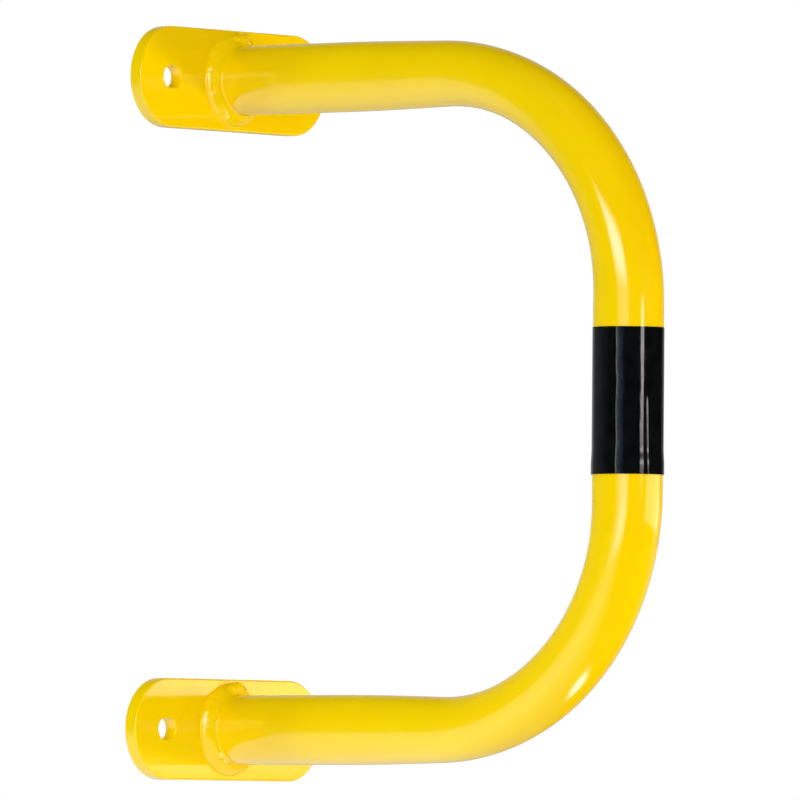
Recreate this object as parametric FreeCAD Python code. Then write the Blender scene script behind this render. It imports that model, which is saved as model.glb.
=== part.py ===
# Wall-mounted hoop guard: one bent steel tube standing out from a wall on two welded plates.
# +X points out of the wall, +Z up, Y runs along the plates. The wall is the plane X = 0.
# The origin is on the wall, at the centre of the four fixing slots. All sizes are in millimetres.
import FreeCAD, Part
import math
import os

Vector = FreeCAD.Vector

# ---- hoop tube ----
tube_diameter = 48.3
tube_wall = 3.2
leg_spacing = 450.0          # between the two leg axes
reach = 355.0                # wall to the axis of the upright run
bend_radius = 157.0          # on the tube's axis, the same for both bends

# A cold bend flattens the tube in the plane of the hoop, mostly on the leg side of the bend.
main_flattening = 0.105      # share of the diameter lost where the flattening is greatest
main_flattening_angle = 27.0     # degrees round the bend, counted from the leg
second_flattening = 0.055
second_flattening_angle = 72.0
leg_lead = 90.0              # the tube starts to lose its round this far before the bend
run_lead = 12.0              # and is round again this far past it
widening_share = 0.45        # of the flattening, gained across the hoop
skin_pitch = 14.0            # between the sections that the outside of a bend is drawn through
bore_pitch = 28.0            # the same for its bore, which nobody sees

# ---- wall plates ----
plate_length = 205.0
plate_width = 70.0           # the ends are full half circles of this width
plate_thickness = 10.0
plate_edge_chamfer = 1.2
slot_width = 15.0
slot_length = 19.0           # end to end, along the plate
slot_spacing = 135.0         # between the two slots of a plate
slot_mouth_chamfer = 1.0
vent_diameter = 12.0         # opens the tube's bore through the plate

# ---- weld beads ----
weld_leg_on_plate = 7.6
weld_leg_on_tube = 8.0
weld_bulge = 1.3             # how far the bead's face stands out past a flat fillet
lump_length = 19.0           # the heap where the weld run starts and stops, on top of each leg
lump_radius = 5.4            # at its middle
lump_end_radius = 3.2        # where it runs out into the bead

# ---- marking band ----
band_length = 100.0
band_drop = 2.0              # the band's middle lies this far below the hoop's middle
film_thickness = 0.35
film_gap = 0.08              # adhesive between tube and film
loose_edge_length = 18.0     # the film's lower edge stands off the tube over this length
loose_edge_gap = 0.45

tube_radius = tube_diameter / 2
leg_height = leg_spacing / 2
bend_centre_x = reach - bend_radius
bend_centre_z = leg_height - bend_radius
bend_length = bend_radius * math.pi / 2


def swell(position, middle, before, after):
    """A smooth hump along the tube: 1 at its middle, 0 at its two ends."""
    width = before if position < middle else after
    share = abs(position - middle) / width
    if share >= 1:
        return 0.0
    return math.cos(share * math.pi / 2) ** 2


def flattening(position):
    """Share of the diameter lost at a distance along the axis, counted from the start of the bend."""
    first = math.radians(main_flattening_angle) * bend_radius
    second = math.radians(second_flattening_angle) * bend_radius
    end = bend_length + run_lead
    loss = main_flattening * swell(position, first, first + leg_lead, end - first)
    return loss + second_flattening * swell(position, second, second - first, end - second)


def axis_point(position, side):
    """The point of the tube's axis and the direction across it in the hoop's plane."""
    if position <= 0:
        return Vector(bend_centre_x + position, 0, side * leg_height), Vector(0, 0, side)
    if position >= bend_length:
        height = bend_centre_z - (position - bend_length)
        return Vector(reach, 0, side * height), Vector(1, 0, 0)
    angle = position / bend_radius
    across = Vector(math.sin(angle), 0, side * math.cos(angle))
    centre = Vector(bend_centre_x, 0, side * bend_centre_z)
    return centre + across * bend_radius, across


def section(position, side, inset):
    """The tube's section there: an ellipse, square to the axis."""
    point, across = axis_point(position, side)
    loss = flattening(position)
    in_plane = tube_radius * (1 - loss) - inset
    sideways = tube_radius * (1 + widening_share * loss) - inset
    wide = Vector(0, 1, 0)
    along = across.cross(wide)
    placed = FreeCAD.Matrix()
    placed.A11, placed.A21, placed.A31 = across * in_plane
    placed.A12, placed.A22, placed.A32 = wide * sideways
    placed.A13, placed.A23, placed.A33 = along
    placed.A14, placed.A24, placed.A34 = point
    circle = Part.Wire(Part.makeCircle(1.0).toNurbs().Edges)
    return circle.transformGeometry(placed)


def bend_positions(pitch):
    """Evenly spaced places from the round leg, through the bend, to the round run."""
    start = -leg_lead
    length = leg_lead + bend_length + run_lead
    count = math.ceil(length / pitch)
    return [start + length * i / count for i in range(count + 1)]


def tube_skin(inset, pitch):
    """The faces of the whole hoop at one depth in its wall, and its two end circles."""
    places = bend_positions(pitch)
    upper = [section(place, 1, inset) for place in places]
    lower = [section(place, -1, inset) for place in places]
    start = plate_thickness - bend_centre_x
    upper_end = section(start, 1, inset)
    lower_end = section(start, -1, inset)
    path = [upper_end] + upper + lower[::-1] + [lower_end]
    return Part.makeLoft(path, False, True).Faces, [upper_end, lower_end]


def hoop_tube():
    """One hollow tube: its outer and inner skins, closed by a ring at each end."""
    outside, outer_ends = tube_skin(0.0, skin_pitch)
    inside, inner_ends = tube_skin(tube_wall, bore_pitch)
    rings = []
    for outer_end, inner_end in zip(outer_ends, inner_ends):
        rings.append(Part.makeFace([outer_end, inner_end], "Part::FaceMakerBullseye"))
    shell = Part.makeShell(outside + inside + rings)
    shell.sewShape()
    tube = Part.Solid(shell)
    if tube.Volume < 0:
        tube.reverse()
    return tube


def obround(length, width, thickness, y, z):
    """A plate with half-round ends on the wall, its length along Y."""
    half = (length - width) / 2
    radius = width / 2
    a = Vector(0, y - half, z + radius)
    b = Vector(0, y + half, z + radius)
    c = Vector(0, y + half, z - radius)
    d = Vector(0, y - half, z - radius)
    edges = [
        Part.LineSegment(a, b).toShape(),
        Part.Arc(b, Vector(0, y + half + radius, z), c).toShape(),
        Part.LineSegment(c, d).toShape(),
        Part.Arc(d, Vector(0, y - half - radius, z), a).toShape(),
    ]
    return Part.Face(Part.Wire(edges)).extrude(Vector(thickness, 0, 0))


def edges_on(shape, x):
    """The edges that lie wholly in the plane at that X."""
    box_edges = [edge for edge in shape.Edges if edge.BoundBox.XLength < 0.001]
    return [edge for edge in box_edges if abs(edge.BoundBox.XMin - x) < 0.001]


def wall_plate(z):
    """A fixing plate with broken edges, two slots for anchors and a vent into the tube."""
    plate = obround(plate_length, plate_width, plate_thickness, 0, z)
    front_and_back = edges_on(plate, plate_thickness) + edges_on(plate, 0)
    plate = plate.makeChamfer(plate_edge_chamfer, front_and_back)
    for side in (-1, 1):
        slot = obround(slot_length, slot_width, plate_thickness, side * slot_spacing / 2, z)
        plate = plate.cut(slot)
    mouths = [edge for edge in edges_on(plate, plate_thickness) if is_slot_edge(edge)]
    plate = plate.makeChamfer(slot_mouth_chamfer, mouths)
    vent = Part.makeCylinder(vent_diameter / 2, plate_thickness, Vector(0, 0, z), Vector(1, 0, 0))
    return plate.cut(vent)


def is_slot_edge(edge):
    """Whether an edge of the plate's face belongs to one of the two slots."""
    middle = edge.BoundBox.Center
    return edge.BoundBox.DiagonalLength < plate_width / 2 and abs(middle.y) < plate_length / 2


def bead_profile():
    """The bead's section, its face broken into three flanks, above the leg's axis in the hoop's plane."""
    slope = math.hypot(weld_leg_on_plate, weld_leg_on_tube)
    out_x = weld_bulge * weld_leg_on_plate / slope
    out_z = weld_bulge * weld_leg_on_tube / slope
    corner = Vector(plate_thickness, 0, tube_radius)
    outline = [
        (0, 0),
        (0, weld_leg_on_plate),
        (weld_leg_on_tube / 3 + out_x, weld_leg_on_plate * 2 / 3 + out_z),
        (weld_leg_on_tube * 2 / 3 + out_x, weld_leg_on_plate / 3 + out_z),
        (weld_leg_on_tube, 0),
        (0, 0),
    ]
    return Part.Face(Part.makePolygon([corner + Vector(x, 0, z) for x, z in outline]))


def weld_bead(z):
    """The fillet weld round a leg, with the heap where the run starts and stops."""
    bead = bead_profile().revolve(Vector(0, 0, 0), Vector(1, 0, 0), 360)
    foot = Vector(plate_thickness, 0, 0)
    out = Vector(1, 0, 0)
    room = Part.makeCylinder(tube_radius + plate_width, plate_width, foot, out)
    room = room.cut(Part.makeCylinder(tube_radius, plate_width, foot, out))
    crown = foot + Vector(weld_leg_on_tube / 2, 0, tube_radius + weld_leg_on_plate / 2)
    for side in (-1, 1):
        half = Part.makeCone(lump_radius, lump_end_radius, lump_length / 2, crown, Vector(0, side, 0))
        bead = bead.fuse(half.common(room))
    bead.translate(Vector(0, 0, z))
    return bead


def marking_band():
    """The film wrapped round the middle of the upright run, its lower edge standing off a little."""
    inner = tube_radius + film_gap
    loose = inner + loose_edge_gap
    bottom = -band_drop - band_length / 2
    top = bottom + band_length
    points = [
        (inner, top),
        (inner, bottom + loose_edge_length),
        (loose, bottom + loose_edge_length / 3),
        (loose, bottom),
    ]
    inside = [Vector(reach + radius, 0, height) for radius, height in points]
    outside = [point + Vector(film_thickness, 0, 0) for point in reversed(inside)]
    outline = Part.makePolygon(inside + outside + inside[:1])
    return Part.Face(outline).revolve(Vector(reach, 0, 0), Vector(0, 0, 1), 360)


def main():
    os.makedirs("parts", exist_ok=True)
    parts = {
        "hoop_tube": hoop_tube(),
        "upper_wall_plate": wall_plate(leg_height),
        "lower_wall_plate": wall_plate(-leg_height),
        "upper_weld_bead": weld_bead(leg_height),
        "lower_weld_bead": weld_bead(-leg_height),
        "marking_band": marking_band(),
    }
    for name, shape in parts.items():
        shape.exportStep("parts/" + name + ".step")
        print(name, "volume", round(shape.Volume, 1), "solids", len(shape.Solids), shape.isValid())


main()
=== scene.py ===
import math

import bmesh
import bpy
from mathutils import Matrix, Vector, noise


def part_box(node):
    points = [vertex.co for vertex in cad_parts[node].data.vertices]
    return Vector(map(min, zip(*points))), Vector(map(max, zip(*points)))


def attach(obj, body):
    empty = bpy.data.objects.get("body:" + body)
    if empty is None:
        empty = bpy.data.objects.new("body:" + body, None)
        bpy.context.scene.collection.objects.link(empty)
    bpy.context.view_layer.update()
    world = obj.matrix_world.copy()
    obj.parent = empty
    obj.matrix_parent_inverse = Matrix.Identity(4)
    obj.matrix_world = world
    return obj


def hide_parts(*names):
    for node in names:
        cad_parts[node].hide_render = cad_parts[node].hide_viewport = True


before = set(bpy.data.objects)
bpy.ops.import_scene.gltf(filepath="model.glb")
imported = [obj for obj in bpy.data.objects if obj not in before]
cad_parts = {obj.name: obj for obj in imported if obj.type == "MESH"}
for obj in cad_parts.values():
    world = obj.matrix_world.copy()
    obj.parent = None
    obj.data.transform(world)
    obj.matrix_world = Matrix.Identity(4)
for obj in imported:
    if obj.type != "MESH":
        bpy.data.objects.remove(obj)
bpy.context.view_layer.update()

body = "root"
yellowSlot = "yellow_powder_coat"
filmSlot = "black_film"

# where the frame puts the main lines of the guard, in metres
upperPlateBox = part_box("upper_wall_plate")
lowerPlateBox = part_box("lower_wall_plate")
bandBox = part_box("marking_band")
plateFront = upperPlateBox[1].x
legHeight = (upperPlateBox[0].z + upperPlateBox[1].z) / 2
runX = (bandBox[0].x + bandBox[1].x) / 2


def smoothStep(low, high, value):
    share = min(1.0, max(0.0, (value - low) / (high - low)))
    return share * share * (3 - 2 * share)


def linkObject(name, mesh):
    piece = bpy.data.objects.new(name, mesh)
    bpy.context.scene.collection.objects.link(piece)
    return piece


def finishMesh(bm, name, sharpAngle=40):
    # edges sharper than this many degrees stay crisp
    bmesh.ops.recalc_face_normals(bm, faces=bm.faces)
    mesh = bpy.data.meshes.new(name)
    bm.to_mesh(mesh)
    bm.free()
    for polygon in mesh.polygons:
        polygon.use_smooth = True
    mesh.set_sharp_from_angle(angle=math.radians(sharpAngle))
    return linkObject(name, mesh)


def bridgeLoops(bm, first, second):
    count = len(first)
    for i in range(count):
        j = (i + 1) % count
        bm.faces.new((first[i], first[j], second[j], second[i]))


def skinRows(bm, rows):
    # joins closed rows of points into a skin of four-sided faces
    made = [[bm.verts.new(point) for point in row] for row in rows]
    for first, second in zip(made, made[1:]):
        bridgeLoops(bm, first, second)
    return made


# the hoop: one tube, bent twice
hoop = {
    "tubeDiameter": 0.0483,
    "wall": 0.0032,
    "bendRadius": 0.157,          # on the tube's axis
    "mainFlattening": 0.105,      # share of the diameter lost in the bend
    "mainAngle": 27.0,            # degrees round the bend from the leg
    "secondFlattening": 0.055,
    "secondAngle": 72.0,
    "legLead": 0.090,             # flattening begins this far before the bend
    "runLead": 0.012,
    "wideningShare": 0.45,
    "around": 144,
    "bendPitch": 0.0025,
    "straightPitch": 0.006,
    "boreAround": 48,
    "boreEvery": 4,               # the bore takes every fourth section
    "waviness": 0.00006,          # height of the unevenness in the tube's skin
    "wavinessSize": 0.045,
    "sharpAngle": 50,
}
tubeRadius = hoop["tubeDiameter"] / 2
bendX = runX - hoop["bendRadius"]
bendZ = legHeight - hoop["bendRadius"]
bendLength = hoop["bendRadius"] * math.pi / 2


def swell(position, middle, before, after):
    width = before if position < middle else after
    share = abs(position - middle) / width
    return 0.0 if share >= 1 else math.cos(share * math.pi / 2) ** 2


def flattening(position):
    first = math.radians(hoop["mainAngle"]) * hoop["bendRadius"]
    second = math.radians(hoop["secondAngle"]) * hoop["bendRadius"]
    end = bendLength + hoop["runLead"]
    loss = hoop["mainFlattening"] * swell(position, first, first + hoop["legLead"], end - first)
    loss += hoop["secondFlattening"] * swell(position, second, second - first, end - second)
    return loss


def axisPoint(position, side):
    # the tube's axis and the direction across it, in the plane of the hoop
    if position <= 0:
        return Vector((bendX + position, 0, side * legHeight)), Vector((0, 0, side))
    if position >= bendLength:
        return Vector((runX, 0, side * (bendZ - position + bendLength))), Vector((1, 0, 0))
    angle = position / hoop["bendRadius"]
    across = Vector((math.sin(angle), 0, side * math.cos(angle)))
    return Vector((bendX, 0, side * bendZ)) + across * hoop["bendRadius"], across


def hoopSection(position, side, inset, count):
    centre, across = axisPoint(position, side)
    loss = flattening(position)
    inPlane = tubeRadius * (1 - loss) - inset
    sideways = tubeRadius * (1 + hoop["wideningShare"] * loss) - inset
    ring = []
    for i in range(count):
        angle = 2 * math.pi * i / count
        out = across * (inPlane * math.cos(angle)) + Vector((0, sideways * math.sin(angle), 0))
        point = centre + out
        if inset == 0:
            wave = noise.noise(point / hoop["wavinessSize"]) - 0.5
            point = point + out.normalized() * (hoop["waviness"] * wave)
        ring.append(point)
    return ring


def hoopStations():
    # places along half the hoop, from the plate to the middle of the upright
    start = plateFront - bendX
    end = bendLength + bendZ
    softEnd = bendLength + hoop["runLead"]
    stations = []
    for low, high, pitch in (
        (start, -hoop["legLead"], hoop["straightPitch"]),
        (-hoop["legLead"], softEnd, hoop["bendPitch"]),
        (softEnd, end, hoop["straightPitch"]),
    ):
        count = max(1, math.ceil((high - low) / pitch))
        stations += [low + (high - low) * i / count for i in range(count)]
    return stations + [end]


def makeHoop():
    bm = bmesh.new()
    stations = hoopStations()
    path = [(s, 1) for s in stations] + [(s, -1) for s in reversed(stations[:-1])]
    outer = skinRows(bm, [hoopSection(s, side, 0, hoop["around"]) for s, side in path])
    borePath = path[::hoop["boreEvery"]]
    if borePath[-1] != path[-1]:
        borePath.append(path[-1])
    around = hoop["boreAround"]
    bore = skinRows(bm, [hoopSection(s, side, hoop["wall"], around) for s, side in borePath])
    step = hoop["around"] // around
    for outerEnd, boreEnd in ((outer[0], bore[0]), (outer[-1], bore[-1])):
        for i in range(around):
            rim = [outerEnd[(i * step + k) % hoop["around"]] for k in range(step + 1)]
            bm.faces.new(rim + [boreEnd[(i + 1) % around], boreEnd[i]])
    return finishMesh(bm, "hoopTube", hoop["sharpAngle"])


hoopTube = makeHoop()
print("hoop tube bent")


# the two wall plates
plate = {
    "edgeRound": 0.0013,          # rounded by blasting and paint
    "slotWidth": 0.015,
    "slotLength": 0.019,
    "slotSpacing": 0.135,
    "slotRound": 0.0011,
    "ventDiameter": 0.012,
    "ventRound": 0.0005,
    "roundSteps": 6,
    "arcSteps": 40,
    "slotArcSteps": 20,
}


def obroundLoop(length, width, centreY, centreZ, arcSteps):
    # points round a slot shape, each with the direction that leads out of it
    half = (length - width) / 2
    radius = width / 2
    loop = []
    for end in (1, -1):
        for i in range(arcSteps + 1):
            angle = math.pi * (i / arcSteps - 0.5) + (0 if end > 0 else math.pi)
            out = Vector((0, math.cos(angle), math.sin(angle)))
            loop.append((Vector((0, centreY + end * half, centreZ)) + out * radius, out))
    if length == width:           # a round hole: the doubled points go
        loop = loop[:arcSteps] + loop[arcSteps + 1:-1]
    return loop


def roundedWall(bm, loop, back, front, rounding, intoMaterial):
    # the wall that follows a loop, with its two edges rounded over
    rows = []
    steps = plate["roundSteps"]
    for face, inward, order in ((front, -1, range(steps + 1)), (back, 1, range(steps, -1, -1))):
        for i in order:
            angle = math.pi / 2 * i / steps
            inset = rounding * (1 - math.sin(angle)) * intoMaterial
            level = face + inward * rounding * (1 - math.cos(angle))
            rows.append([p + out * inset + Vector((level, 0, 0)) for p, out in loop])
    return skinRows(bm, rows)


def fillBetween(bm, loops):
    edges = []
    for ring in loops:
        for i, vertex in enumerate(ring):
            edges.append(bm.edges.get((vertex, ring[(i + 1) % len(ring)])))
    bmesh.ops.triangle_fill(bm, use_beauty=True, use_dissolve=False, edges=edges)


def makePlate(name, plateBox):
    low, high = plateBox
    centreZ = (low.z + high.z) / 2
    length = high.y - low.y
    width = high.z - low.z
    bm = bmesh.new()
    outline = obroundLoop(length, width, 0, centreZ, plate["arcSteps"])
    walls = [roundedWall(bm, outline, low.x, high.x, plate["edgeRound"], -1)]
    steps = plate["slotArcSteps"]
    for side in (-1, 1):
        slotY = side * plate["slotSpacing"] / 2
        slot = obroundLoop(plate["slotLength"], plate["slotWidth"], slotY, centreZ, steps)
        walls.append(roundedWall(bm, slot, low.x, high.x, plate["slotRound"], 1))
    vent = obroundLoop(plate["ventDiameter"], plate["ventDiameter"], 0, centreZ, steps)
    walls.append(roundedWall(bm, vent, low.x, high.x, plate["ventRound"], 1))
    fillBetween(bm, [wall[0] for wall in walls])
    fillBetween(bm, [wall[-1] for wall in walls])
    piece = finishMesh(bm, name)
    even = piece.modifiers.new("evenShading", "WEIGHTED_NORMAL")
    even.keep_sharp = True
    return piece


upperWallPlate = makePlate("upperWallPlate", upperPlateBox)
lowerWallPlate = makePlate("lowerWallPlate", lowerPlateBox)
print("wall plates cut")


# the weld bead round each leg
bead = {
    "legOnPlate": 0.0076,
    "legOnTube": 0.0080,
    "bulge": 0.0014,
    "flatness": 4.0,              # how broad and flat the crown is
    "plateToeBlend": 0.00035,     # paint and weld run out softly onto the plate
    "tubeToeBlend": 0.00085,      # and more softly onto the tube
    "skirt": 0.0022,              # how far past the toes the blend is followed
    "sink": 0.00012,              # its border lies this far under their paint
    "sinkFrom": 0.88,             # share of the way to the border where it goes under
    "rootSink": 0.0006,           # its hidden root reaches this far into tube and plate
    "rippleHeight": 0.00006,
    "ripplePitch": 0.0038,
    "rippleBow": 2.2,             # how far the ripples bow from toe to toe
    "slowPitch": 1.9,             # slow and quicker unevenness round the leg
    "quickPitch": 4.6,
    "slowWidth": 0.07,            # share of the bead's width that they add
    "quickWidth": 0.03,
    "slowBulge": 0.30,            # and of its bulge
    "unevenness": 0.00034,
    "lumpRadius": 0.0052,         # the heap where the run starts and stops
    "lumpHalfLength": 0.0090,
    "lumpAngle": 84.0,            # degrees from +Y, near the top of the leg
    "lumpSteepness": 1.6,         # of its two ends
    "lumpRoughness": 0.0008,
    "lumpGrain": 330,
    "besideLump": -0.002,         # lift where there is no heap: well under the bead
    "craters": ((0.0036, 0.0013, 0.0018), (-0.0048, 0.0010, 0.0014)),  # place, width, depth
    "craterLean": 0.0006,
    "around": 480,
    "across": 44,
    "sharpAngle": 60,
}


def softMax(values, blend):
    top = max(values)
    return top + blend * math.log(sum(math.exp((value - top) / blend) for value in values))


def beadPoint(angle, share, centreZ, seed):
    # share runs from -1 on the plate to 1 on the tube
    # lift is measured off the line between the toes
    arc = (angle - math.radians(bead["lumpAngle"]) + math.pi) % (2 * math.pi) - math.pi
    along = arc * tubeRadius
    around = Vector((math.cos(angle), math.sin(angle), seed))
    slow = noise.noise(around * bead["slowPitch"])
    quick = noise.noise(around * bead["quickPitch"] + Vector((0, 0, share)))
    half = math.hypot(bead["legOnPlate"], bead["legOnTube"]) / 2
    half *= 1 + bead["slowWidth"] * slow + bead["quickWidth"] * quick
    across = share * (half + bead["skirt"])
    crown = 1 - abs(across / half) ** bead["flatness"]
    ripple = math.cos(2 * math.pi * along / bead["ripplePitch"] + bead["rippleBow"] * share ** 2)
    bulge = bead["bulge"] * (1 + bead["slowBulge"] * slow) + bead["unevenness"] * quick
    weld = bulge * crown + bead["rippleHeight"] * ripple * max(0.0, crown)
    reach = math.exp(-bead["lumpSteepness"] * (along / bead["lumpHalfLength"]) ** 4)
    rough = noise.noise(Vector((along * bead["lumpGrain"], across * bead["lumpGrain"], seed)))
    heap = (bead["lumpRadius"] + bead["lumpRoughness"] * rough) * reach
    for place, width, depth in bead["craters"]:
        heap -= depth * math.exp(-((along - place - bead["craterLean"] * share) / width) ** 2)
    mound = bead["besideLump"]
    if heap > abs(across):
        mound = math.sqrt(heap ** 2 - across ** 2)
    lift = softMax((weld, mound, -across - half), bead["plateToeBlend"])
    lift = softMax((lift, across - half), bead["tubeToeBlend"])
    lift -= bead["sink"] * smoothStep(bead["sinkFrom"], 1.0, abs(share))
    slope = math.atan2(bead["legOnPlate"], bead["legOnTube"])
    x = bead["legOnTube"] / 2 + across * math.cos(slope) + lift * math.sin(slope)
    r = bead["legOnPlate"] / 2 - across * math.sin(slope) + lift * math.cos(slope)
    r += tubeRadius
    return Vector((plateFront + x, r * math.cos(angle), centreZ + r * math.sin(angle)))


def makeBead(name, centreZ, seed):
    bm = bmesh.new()
    angles = [2 * math.pi * i / bead["around"] for i in range(bead["around"])]
    rows = []
    for j in range(bead["across"] + 1):
        share = 2 * j / bead["across"] - 1
        rows.append([beadPoint(angle, share, centreZ, seed) for angle in angles])
    root = tubeRadius - bead["rootSink"]
    back = plateFront - bead["rootSink"]
    rows.append([Vector((back, root * math.cos(a), centreZ + root * math.sin(a))) for a in angles])
    made = skinRows(bm, rows)
    bridgeLoops(bm, made[-1], made[0])
    return finishMesh(bm, name, bead["sharpAngle"])


upperWeldBead = makeBead("upperWeldBead", legHeight, 1.7)
lowerWeldBead = makeBead("lowerWeldBead", -legHeight, 6.4)
print("weld beads laid")


# the marking band: a strip of film wrapped round the upright
film = {
    "gap": 0.00008,
    "thickness": 0.00026,
    "overlapAngle": 15.0,
    "climb": (356, 362),          # degrees of turn in which it climbs onto its own start
    "climbShare": 1.1,            # of its thickness
    "seamAzimuth": 18.0,          # the cut end, degrees from -Y towards +X
    "seamWander": 0.0007,
    "seamPitch": 55,
    "lipWidth": 0.0010,           # the cut end stands off a little
    "lipHeight": 0.00012,
    "bubbleHeight": 0.00014,      # air caught under the overlap
    "bubbles": (17, 310, 1.9),    # how often round the tube, how often along it, which noise
    "bubbleRange": (0.18, 0.45),
    "bubbleTurns": (361, 364),
    "looseLength": 0.018,         # the lower edge stands off over this length
    "looseGap": 0.00045,
    "looseFrom": 0.35,            # share of that length where it is off altogether
    "wrinkle": 0.00004,
    "streaks": (9, 14, 3.1),
    "puckers": (26, 90, 8.3),
    "puckerShare": 0.45,
    "wrinkleLevel": 0.8,          # keeps the film outside the tube between its wrinkles
    "creaseAzimuth": 65.5,        # a low step in the lower half of the film
    "creaseDrift": 4.0,           # degrees it leans towards the lower edge
    "creaseRise": 0.00030,
    "creaseWidth": 0.0020,
    "creaseFade": 0.0080,
    "creaseRange": (0.42, 0.66),  # share of the band's height where it dies out
    "columns": 300,
    "lipTurn": 4,                 # the closer columns cover this many degrees
    "lipColumns": 20,
    "rows": 96,
}
bandLength = bandBox[1].z - bandBox[0].z


def creaseLift(share, angle):
    # rises in a short step and levels out slowly beyond it
    start = math.radians(film["creaseAzimuth"] + film["creaseDrift"] * (1 - share))
    along = (angle - start) * tubeRadius
    rise = smoothStep(0, film["creaseWidth"], along)
    rest = 1 - smoothStep(film["creaseWidth"], film["creaseFade"], along)
    return film["creaseRise"] * rise * rest * (1 - smoothStep(*film["creaseRange"], share))


def filmNoise(angle, z, pitch):
    around, along, seed = pitch
    return noise.noise(Vector((angle * around, z * along, seed)))


def filmRadius(height, turn, z, angle):
    # turn runs from 0 at the covered end of the strip past 360 to the cut end
    share = height / film["looseLength"]
    loose = film["looseGap"] * (1 - smoothStep(film["looseFrom"], 1.0, share))
    over = smoothStep(*film["climb"], turn) * (film["thickness"] * film["climbShare"])
    fromCut = math.radians(360 + film["overlapAngle"] - turn) * tubeRadius
    lip = film["lipHeight"] * math.exp(-fromCut / film["lipWidth"])
    streak = filmNoise(angle, z, film["streaks"])
    pucker = filmNoise(angle, z, film["puckers"])
    bubble = smoothStep(*film["bubbleRange"], filmNoise(angle, z, film["bubbles"]))
    bubble *= smoothStep(*film["bubbleTurns"], turn) * film["bubbleHeight"]
    wrinkle = film["wrinkle"] * (streak + film["puckerShare"] * pucker + film["wrinkleLevel"])
    crease = creaseLift(height / bandLength, angle)
    return tubeRadius + film["gap"] + loose + over + lip + bubble + wrinkle + crease


def stripTurns():
    # even columns, then closer ones towards the cut end
    total = 360 + film["overlapAngle"]
    near = total - film["lipTurn"]
    turns = [near * i / film["columns"] for i in range(film["columns"])]
    closer = film["lipColumns"]
    return turns + [near + film["lipTurn"] * i / closer for i in range(closer + 1)]


def makeBand():
    low = bandBox[0].z
    seam = math.radians(film["seamAzimuth"])
    turns = stripTurns()
    total = turns[-1]
    bm = bmesh.new()
    rows = []
    for layer in (0, film["thickness"]):
        for j in range(film["rows"] + 1):
            height = bandLength * j / film["rows"]
            z = low + height
            # the cut wanders a little over the height
            wander = film["seamWander"] / tubeRadius
            wander *= noise.noise(Vector((z * film["seamPitch"], 5.0, 0)))
            row = []
            for turn in turns:
                angle = seam + wander + math.radians(total - turn)
                radius = filmRadius(height, turn, z, angle) + layer
                x = runX + radius * math.sin(angle)
                row.append(Vector((x, -radius * math.cos(angle), z)))
            rows.append(row)
    inside = rows[:film["rows"] + 1]
    outside = rows[film["rows"] + 1:]
    loop = [row + list(reversed(other)) for row, other in zip(inside, outside)]
    made = skinRows(bm, loop)
    for end in (made[0], made[-1]):
        last = len(end) - 1
        for i in range(len(turns) - 1):
            bm.faces.new((end[i], end[i + 1], end[last - i - 1], end[last - i]))
    piece = finishMesh(bm, "markingBand")
    markCutEnd(piece, turns)
    return piece


def markCutEnd(piece, turns):
    # a painted highlight along the cut end, a pale line standing in for the light its lifted lip
    # catches, is kept as a value on the mesh
    width = 2 * len(turns)
    highlightShare = piece.data.attributes.new("paintedSeamHighlight", "FLOAT", "POINT")
    for i in range(len(piece.data.vertices)):
        place = i % width
        turn = turns[min(place, width - 1 - place)]
        fromCut = math.radians(turns[-1] - turn) * tubeRadius
        highlightShare.data[i].value = math.exp(-fromCut / film["lipWidth"])


markingBand = makeBand()
print("marking band wrapped")


noiseRange = (0.3, 0.7)           # most of a noise's values lie between these


def newMaterial(name):
    material = bpy.data.materials.new(name)
    material.use_nodes = True
    nodes = material.node_tree.nodes
    return material, nodes, material.node_tree.links, nodes["Principled BSDF"]


def noiseNode(nodes, links, source, scale, detail):
    made = nodes.new("ShaderNodeTexNoise")
    made.inputs["Scale"].default_value = scale
    made.inputs["Detail"].default_value = detail
    links.new(source, made.inputs["Vector"])
    return made.outputs["Fac"]


def rangeNode(nodes, links, source, low, high, toLow, toHigh):
    made = nodes.new("ShaderNodeMapRange")
    made.inputs["From Min"].default_value = low
    made.inputs["From Max"].default_value = high
    made.inputs["To Min"].default_value = toLow
    made.inputs["To Max"].default_value = toHigh
    links.new(source, made.inputs["Value"])
    return made.outputs["Result"]


def twoTone(nodes, links, source, places, colours):
    ramp = nodes.new("ShaderNodeValToRGB")
    for element, place, colour in zip(ramp.color_ramp.elements, places, colours):
        element.position = place
        element.color = colour
    links.new(source, ramp.inputs["Fac"])
    return ramp.outputs["Color"]


def mathNode(nodes, links, operation, first, second=None):
    made = nodes.new("ShaderNodeMath")
    made.operation = operation
    for socket, value in zip(made.inputs, (first, second)):
        if isinstance(value, (int, float)):
            socket.default_value = value
        elif value is not None:
            links.new(value, socket)
    return made.outputs[0]


def bumpNode(nodes, links, height, strength, distance, before=None):
    made = nodes.new("ShaderNodeBump")
    made.inputs["Strength"].default_value = strength
    made.inputs["Distance"].default_value = distance
    links.new(height, made.inputs["Height"])
    if before is not None:
        links.new(before, made.inputs["Normal"])
    return made.outputs["Normal"]


paint = {
    "colour": (0.95, 0.670, 0.0, 1),
    "thinColour": (0.93, 0.64, 0.0, 1),
    "cloudScale": 18.0,           # how the coat's thickness changes over the steel
    "cloudRange": (0.30, 0.62),
    "roughness": (0.07, 0.11),
    "roughnessScale": 60.0,
    "peelScale": 420.0,           # orange peel, about 2 mm from crest to crest
    "peelHeight": 0.00002,
    "peelStrength": 0.30,
    "speckScale": 1500.0,
    "speckStrength": 0.12,
    "ior": 1.5,
}


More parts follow.
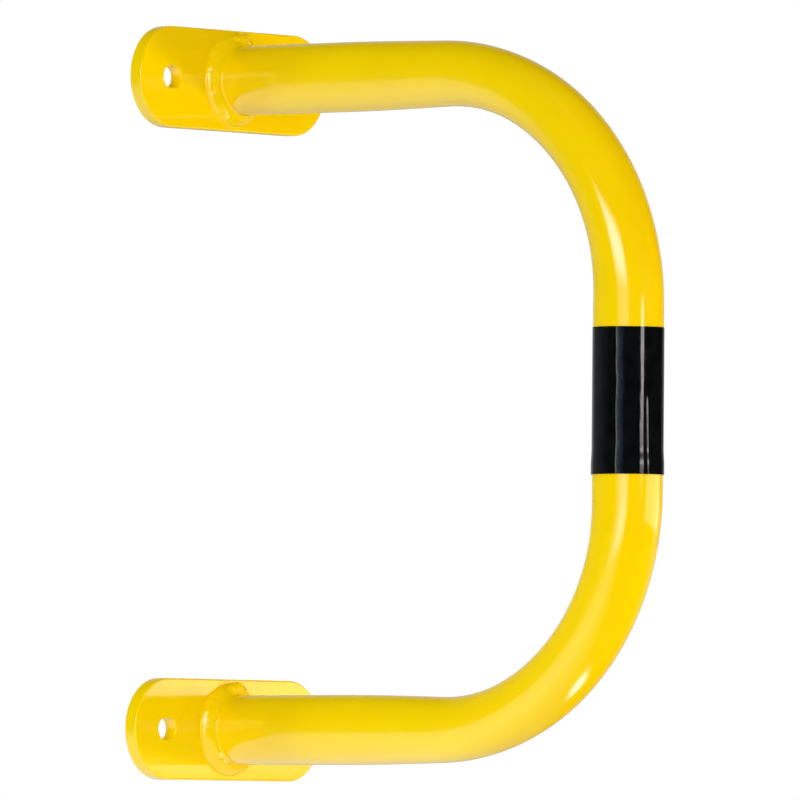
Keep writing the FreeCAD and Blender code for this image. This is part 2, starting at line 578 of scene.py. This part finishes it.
def makePaint():
    material, nodes, links, shader = newMaterial("yellowPowderCoat")
    place = nodes.new("ShaderNodeTexCoord").outputs["Object"]
    cloud = noiseNode(nodes, links, place, paint["cloudScale"], 4)
    colours = (paint["thinColour"], paint["colour"])
    colour = twoTone(nodes, links, cloud, paint["cloudRange"], colours)
    links.new(colour, shader.inputs["Base Color"])
    patchy = noiseNode(nodes, links, place, paint["roughnessScale"], 3)
    roughness = rangeNode(nodes, links, patchy, *noiseRange, *paint["roughness"])
    links.new(roughness, shader.inputs["Roughness"])
    peel = noiseNode(nodes, links, place, paint["peelScale"], 2)
    speck = noiseNode(nodes, links, place, paint["speckScale"], 1)
    height = paint["peelHeight"]
    normal = bumpNode(nodes, links, peel, paint["peelStrength"], height)
    normal = bumpNode(nodes, links, speck, paint["speckStrength"], height / 3, normal)
    links.new(normal, shader.inputs["Normal"])
    shader.inputs["IOR"].default_value = paint["ior"]
    return material


blackFilm = {
    "colour": (0.0016, 0.0022, 0.0030, 1),
    "faded": (0.0035, 0.0042, 0.0052, 1),
    "cloudScale": 90.0,
    "cloudRange": (0.35, 0.70),
    # painted highlight along the cut end: its colour, how often its line is broken, and how much is
    # left where it is broken
    "adhesive": (0.17, 0.19, 0.14, 1),
    "adhesiveScale": 900.0,       # how often its line is broken
    "adhesiveRange": (0.35, 0.60),
    "adhesiveLeast": 0.3,
    "roughness": (0.06, 0.12),
    "rippleScale": 260.0,
    "rippleHeight": 0.00003,
    "rippleStrength": 0.25,
}


def makeFilm():
    material, nodes, links, shader = newMaterial("blackFilm")
    place = nodes.new("ShaderNodeTexCoord").outputs["Object"]
    cloud = noiseNode(nodes, links, place, blackFilm["cloudScale"], 5)
    colours = (blackFilm["colour"], blackFilm["faded"])
    colour = twoTone(nodes, links, cloud, blackFilm["cloudRange"], colours)
    # painted highlight: a pale greenish-grey line along the cut end, broken up by noise
    edge = nodes.new("ShaderNodeAttribute")
    edge.attribute_name = "paintedSeamHighlight"
    broken = noiseNode(nodes, links, place, blackFilm["adhesiveScale"], 2)
    least = blackFilm["adhesiveLeast"]
    broken = rangeNode(nodes, links, broken, *blackFilm["adhesiveRange"], least, 1)
    mixed = nodes.new("ShaderNodeMix")
    mixed.data_type = "RGBA"
    factor, first, second = mixed.inputs[0], mixed.inputs[6], mixed.inputs[7]
    links.new(mathNode(nodes, links, "MULTIPLY", edge.outputs["Fac"], broken), factor)
    links.new(colour, first)
    second.default_value = blackFilm["adhesive"]
    links.new(mixed.outputs[2], shader.inputs["Base Color"])
    roughness = rangeNode(nodes, links, cloud, *noiseRange, *blackFilm["roughness"])
    links.new(roughness, shader.inputs["Roughness"])
    ripple = noiseNode(nodes, links, place, blackFilm["rippleScale"], 2)
    height = blackFilm["rippleHeight"]
    normal = bumpNode(nodes, links, ripple, blackFilm["rippleStrength"], height)
    links.new(normal, shader.inputs["Normal"])
    return material


yellowPowderCoat = makePaint()
blackFilmFinish = makeFilm()
for piece in (hoopTube, upperWallPlate, lowerWallPlate, upperWeldBead, lowerWeldBead):
    piece.data.materials.append(yellowPowderCoat)
markingBand.data.materials.append(blackFilmFinish)
print("finishes made")


# what each piece stands for
for piece, node, slot in (
    (hoopTube, "hoop_tube", yellowSlot),
    (upperWallPlate, "upper_wall_plate", yellowSlot),
    (lowerWallPlate, "lower_wall_plate", yellowSlot),
    (upperWeldBead, "upper_weld_bead", yellowSlot),
    (lowerWeldBead, "lower_weld_bead", yellowSlot),
    (markingBand, "marking_band", filmSlot),
):
    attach(piece, body)
    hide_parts(node)


# the camera
view = {
    "azimuth": 38.157,            # degrees from -Y towards +X
    "elevation": -1.885,
    "roll": 0.426,
    "distance": 10.0,
    "aim": (0.170, 0.0, 0.0),
    "shiftRight": -0.0092,
    "shiftUp": 0.0014,
    "lens": 655.6,
    "sensor": 36,
    "clip": (0.5, 60),
}


def directionAt(azimuth, elevation):
    a = math.radians(azimuth)
    e = math.radians(elevation)
    return Vector((math.sin(a) * math.cos(e), -math.cos(a) * math.cos(e), math.sin(e)))


def makeCamera():
    back = directionAt(view["azimuth"], view["elevation"])
    level = (-back).cross(Vector((0, 0, 1))).normalized()
    upright = level.cross(-back)
    roll = math.radians(view["roll"])
    right = level * math.cos(roll) + upright * math.sin(roll)
    up = upright * math.cos(roll) - level * math.sin(roll)
    aim = Vector(view["aim"]) + right * view["shiftRight"] + up * view["shiftUp"]
    data = bpy.data.cameras.new("camera")
    data.lens = view["lens"]
    data.sensor_width = view["sensor"]
    data.clip_start, data.clip_end = view["clip"]
    camera = linkObject("camera", data)
    turned = Matrix((right, up, back)).transposed().to_4x4()
    camera.matrix_world = Matrix.Translation(aim + back * view["distance"]) @ turned
    bpy.context.scene.camera = camera


makeCamera()


# the studio: a pale floor and the room round it
studio = {
    "floorHeight": -0.60,
    "floorSize": 60.0,
    "floorColour": (0.80, 0.80, 0.80, 1),
    "floorRoughness": 0.9,
    # the gloss sees a lit patch of floor; each fade: where full, where gone, what is left of it
    "floorShine": 1.7,
    "fadeRight": (-0.05, 0.45, 0.0),      # metres right of the guard's middle
    "fadeBehind": (-0.10, -1.0, 0.28),    # metres in front of it
    "fadeOut": (0.9, 3.8, 0.08),          # metres from the floor's middle
    "farShine": (-0.2, -1.3),             # the floor behind the guard: starts, full
    "farShineStrength": 0.36,
    "floorLift": (2.0, 9.0, 0.46, 0.70),  # whiteness the camera sees added: from, to, near, far
    "ambient": 0.36,
    "ambientBehind": 0.20,        # the room is darker behind the guard
    "ambientRange": (0.2, 0.8),
    "room": 0.008,                # what the gloss sees of the dark room
    "sweep": 0.16,                # of the sweep behind the guard, to the left
    "sweepPlace": (-135, -25),    # degrees right of the camera, elevation
    "sweepRange": (0.30, 0.80),
    "backdrop": 0.50,             # and straight behind it
    "backdropRange": (0.70, 0.99),
}

# Soft boxes: degrees right of the camera, elevation, distance, width, height, soft edges,
# radiance, tint, what they are seen in. Their light on matt surfaces comes from the fills.
panels = {
    "window": (-14, 4, 2.3, 1.9, 2.0, (0.60, 0.50), 1.6, (1.0, 0.80, 1.0), "allButFilm"),
    "upperWindow": (-17, 16, 2.25, 1.80, 0.90, (0.45, 0.30), 9.0, (1.0, 0.72, 1.0), "allButFilm"),
    "lowerWindow": (-8, -6, 2.25, 1.30, 0.90, (0.40, 0.35), 4.0, (1.0, 0.80, 1.0), "allButFilm"),
    "filmGlow": (-20, 0, 2.2, 1.00, 1.60, (0.42, 0.45), 0.60, (0.15, 0.45, 1.0), "filmOnly"),
    "rightStrip": (46, 2.7, 2.2, 0.46, 0.26, (0.10, 0.10), 8.5, (1.0, 0.94, 0.95), "all"),
    "rightBoard": (90, -6.6, 1.12, 1.36, 0.25, (0.14, 0.015), 2.8, (1.0, 0.93, 0.82), "allButFilm"),
    "floorLamp": (79, -62, 0.64, 0.26, 0.13, (0.11, 0.06), 13.0, (1.0, 0.80, 1.0), "allButFilm"),
}

# lights that the gloss doesn't see: degrees right, elevation, distance, size, radiance, tint
fills = {
    "leftFill": (-85, -14, 2.2, 0.8, 10.2, (0.88, 1.0, 0.82)),
    "windowFill": (-15, 5, 2.4, 1.8, 3.7, (1.0, 1.0, 0.97)),
    "rightFill": (62, -2, 2.4, 2.0, 2.9, (1.0, 0.78, 0.45)),
    "warmLamp": (108, -15, 1.15, 0.24, 46.0, (1.0, 0.86, 0.60)),
    "underFill": (10, -80, 0.56, 1.3, 0.62, (1.0, 0.98, 0.95)),
    "backFill": (-140, 25, 2.4, 1.4, 4.8, (0.94, 1.0, 0.90)),
    "topFill": (0, 80, 2.2, 1.2, 1.6, (1.0, 1.0, 1.0)),
}
floorLights = ("topFill",)        # only these reach the floor, for a soft shadow


def fadeAlong(nodes, links, place, azimuth, fade):
    # runs from full to what is left along one level direction
    along = nodes.new("ShaderNodeVectorMath")
    along.operation = "DOT_PRODUCT"
    along.inputs[1].default_value = directionAt(azimuth, 0)
    links.new(place, along.inputs[0])
    full, gone, rest = fade
    return rangeNode(nodes, links, along.outputs["Value"], full, gone, 1.0, rest)


def makeFloor():
    half = studio["floorSize"] / 2
    bm = bmesh.new()
    corners = [bm.verts.new((x * half, y * half, studio["floorHeight"]))
               for x, y in ((-1, -1), (1, -1), (1, 1), (-1, 1))]
    bm.faces.new(corners)
    floor = finishMesh(bm, "floor")
    material, nodes, links, shader = newMaterial("paleFloor")
    shader.inputs["Base Color"].default_value = studio["floorColour"]
    shader.inputs["Roughness"].default_value = studio["floorRoughness"]
    shader.inputs["Specular IOR Level"].default_value = 0.0
    place = nodes.new("ShaderNodeNewGeometry").outputs["Position"]
    fades = [fadeAlong(nodes, links, place, view["azimuth"] + 90, studio["fadeRight"])]
    fades.append(fadeAlong(nodes, links, place, view["azimuth"], studio["fadeBehind"]))
    span = nodes.new("ShaderNodeVectorMath")
    span.operation = "LENGTH"
    links.new(place, span.inputs[0])
    full, gone, rest = studio["fadeOut"]
    fades.append(rangeNode(nodes, links, span.outputs["Value"], full, gone, 1.0, rest))
    shine = studio["floorShine"]
    for fade in fades:
        shine = mathNode(nodes, links, "MULTIPLY", fade, shine)
    far = fadeAlong(nodes, links, place, view["azimuth"], (*studio["farShine"], 0.0))
    far = mathNode(nodes, links, "SUBTRACT", 1.0, far)
    far = mathNode(nodes, links, "MULTIPLY", far, studio["farShineStrength"])
    glow = nodes.new("ShaderNodeEmission")
    links.new(mathNode(nodes, links, "ADD", shine, far), glow.inputs["Strength"])
    path = nodes.new("ShaderNodeLightPath")
    lift = rangeNode(nodes, links, span.outputs["Value"], *studio["floorLift"])
    lift = mathNode(nodes, links, "MULTIPLY", lift, path.outputs["Is Camera Ray"])
    shader.inputs["Emission Color"].default_value = (1, 1, 1, 1)
    links.new(lift, shader.inputs["Emission Strength"])
    # the gloss sees the glow in place of the floor itself
    mixed = nodes.new("ShaderNodeMixShader")
    links.new(path.outputs["Is Glossy Ray"], mixed.inputs[0])
    links.new(shader.outputs[0], mixed.inputs[1])
    links.new(glow.outputs[0], mixed.inputs[2])
    links.new(mixed.outputs[0], nodes["Material Output"].inputs["Surface"])
    floor.data.materials.append(material)
    return floor


def towards(nodes, links, direction, right, elevation):
    # how nearly a direction points at one place in the room, 1 when straight at it
    made = nodes.new("ShaderNodeVectorMath")
    made.operation = "DOT_PRODUCT"
    made.inputs[1].default_value = directionAt(view["azimuth"] + right, elevation)
    links.new(direction, made.inputs[0])
    return made.outputs["Value"]


def makeWorld():
    world = bpy.data.worlds.new("studio")
    bpy.context.scene.world = world
    world.use_nodes = True
    nodes = world.node_tree.nodes
    links = world.node_tree.links
    nodes.clear()
    path = nodes.new("ShaderNodeLightPath")
    direction = nodes.new("ShaderNodeTexCoord").outputs["Generated"]
    behind = towards(nodes, links, direction, 180, 0)
    sweep = towards(nodes, links, direction, *studio["sweepPlace"])
    dim, bright = studio["room"], studio["sweep"]
    sweep = rangeNode(nodes, links, sweep, *studio["sweepRange"], dim, bright)
    backdrop = rangeNode(nodes, links, behind, *studio["backdropRange"], 0.0, studio["backdrop"])
    front, back = studio["ambient"], studio["ambientBehind"]
    spread = rangeNode(nodes, links, behind, *studio["ambientRange"], front, back)
    ambient = nodes.new("ShaderNodeBackground")
    links.new(spread, ambient.inputs["Strength"])
    glossy = nodes.new("ShaderNodeBackground")
    links.new(mathNode(nodes, links, "ADD", sweep, backdrop), glossy.inputs["Strength"])
    white = nodes.new("ShaderNodeBackground")
    for background in (ambient, glossy, white):
        background.inputs["Color"].default_value = (1, 1, 1, 1)
    lit = nodes.new("ShaderNodeMixShader")
    links.new(path.outputs["Is Glossy Ray"], lit.inputs[0])
    links.new(ambient.outputs[0], lit.inputs[1])
    links.new(glossy.outputs[0], lit.inputs[2])
    camera, through = path.outputs["Is Camera Ray"], path.outputs["Is Transmission Ray"]
    seen = mathNode(nodes, links, "MAXIMUM", camera, through)
    shown = nodes.new("ShaderNodeMixShader")
    links.new(seen, shown.inputs[0])
    links.new(lit.outputs[0], shown.inputs[1])
    links.new(white.outputs[0], shown.inputs[2])
    output = nodes.new("ShaderNodeOutputWorld")
    links.new(shown.outputs[0], output.inputs["Surface"])


def softEdge(nodes, links, value, half, soft):
    # 1 across the panel, falling smoothly to 0 at its border
    made = nodes.new("ShaderNodeMapRange")
    made.interpolation_type = "SMOOTHSTEP"
    made.inputs["From Min"].default_value = half
    made.inputs["From Max"].default_value = half - soft
    links.new(mathNode(nodes, links, "ABSOLUTE", value), made.inputs["Value"])
    return made.outputs["Result"]


def placeFacing(thing, right, elevation, distance):
    away = directionAt(view["azimuth"] + right, elevation)
    turn = away.to_track_quat("Z", "Y").to_matrix().to_4x4()
    thing.matrix_world = Matrix.Translation(Vector(view["aim"]) + away * distance) @ turn


def lightOnly(lamp, receiver, state):
    # state says whether the lamp lights only this one thing or all but this one
    receivers = bpy.data.collections.new(lamp.name + "Lights")
    receivers.objects.link(receiver)
    receivers.collection_objects[0].light_linking.link_state = state
    lamp.light_linking.receiver_collection = receivers


def makePanel(name, right, elevation, distance, width, height, soft, radiance, tint, lights):
    bm = bmesh.new()
    corners = [bm.verts.new((x * width / 2, y * height / 2, 0))
               for x, y in ((-1, -1), (-1, 1), (1, 1), (1, -1))]
    bm.faces.new(corners)
    mesh = bpy.data.meshes.new(name)
    bm.to_mesh(mesh)
    bm.free()
    panel = linkObject(name, mesh)
    material = bpy.data.materials.new(name + "Light")
    material.use_nodes = True
    nodes = material.node_tree.nodes
    links = material.node_tree.links
    nodes.clear()
    split = nodes.new("ShaderNodeSeparateXYZ")
    links.new(nodes.new("ShaderNodeTexCoord").outputs["Object"], split.inputs[0])
    across = softEdge(nodes, links, split.outputs["X"], width / 2, soft[0])
    upright = softEdge(nodes, links, split.outputs["Y"], height / 2, soft[1])
    strength = mathNode(nodes, links, "MULTIPLY", across, upright)
    strength = mathNode(nodes, links, "MULTIPLY", strength, radiance)
    behind = nodes.new("ShaderNodeNewGeometry").outputs["Backfacing"]
    front = mathNode(nodes, links, "SUBTRACT", 1.0, behind)
    strength = mathNode(nodes, links, "MULTIPLY", strength, front)
    emission = nodes.new("ShaderNodeEmission")
    emission.inputs["Color"].default_value = (*tint, 1)
    links.new(strength, emission.inputs["Strength"])
    # clear where it is dark, so that one box never hides another
    layered = nodes.new("ShaderNodeAddShader")
    links.new(emission.outputs[0], layered.inputs[0])
    links.new(nodes.new("ShaderNodeBsdfTransparent").outputs[0], layered.inputs[1])
    output = nodes.new("ShaderNodeOutputMaterial")
    links.new(layered.outputs[0], output.inputs["Surface"])
    mesh.materials.append(material)
    placeFacing(panel, right, elevation, distance)
    panel.visible_camera = False
    panel.visible_diffuse = False
    panel.visible_shadow = False
    panel.visible_transmission = False
    if lights != "all":
        lightOnly(panel, markingBand, "INCLUDE" if lights == "filmOnly" else "EXCLUDE")


def makeFill(name, right, elevation, distance, size, radiance, tint):
    data = bpy.data.lights.new(name, "AREA")
    data.shape = "DISK"
    data.size = size
    data.energy = radiance * math.pi * math.pi * (size / 2) ** 2  # a disk's power
    data.color = tint
    lamp = linkObject(name, data)
    placeFacing(lamp, right, elevation, distance)
    lamp.visible_camera = False
    lamp.visible_glossy = False
    return lamp


floor = makeFloor()
makeWorld()
for name, values in panels.items():
    makePanel(name, *values)
for name, values in fills.items():
    lamp = makeFill(name, *values)
    if name not in floorLights:
        lightOnly(lamp, floor, "EXCLUDE")
bpy.context.scene.view_settings.view_transform = "Standard"
print("studio lit")
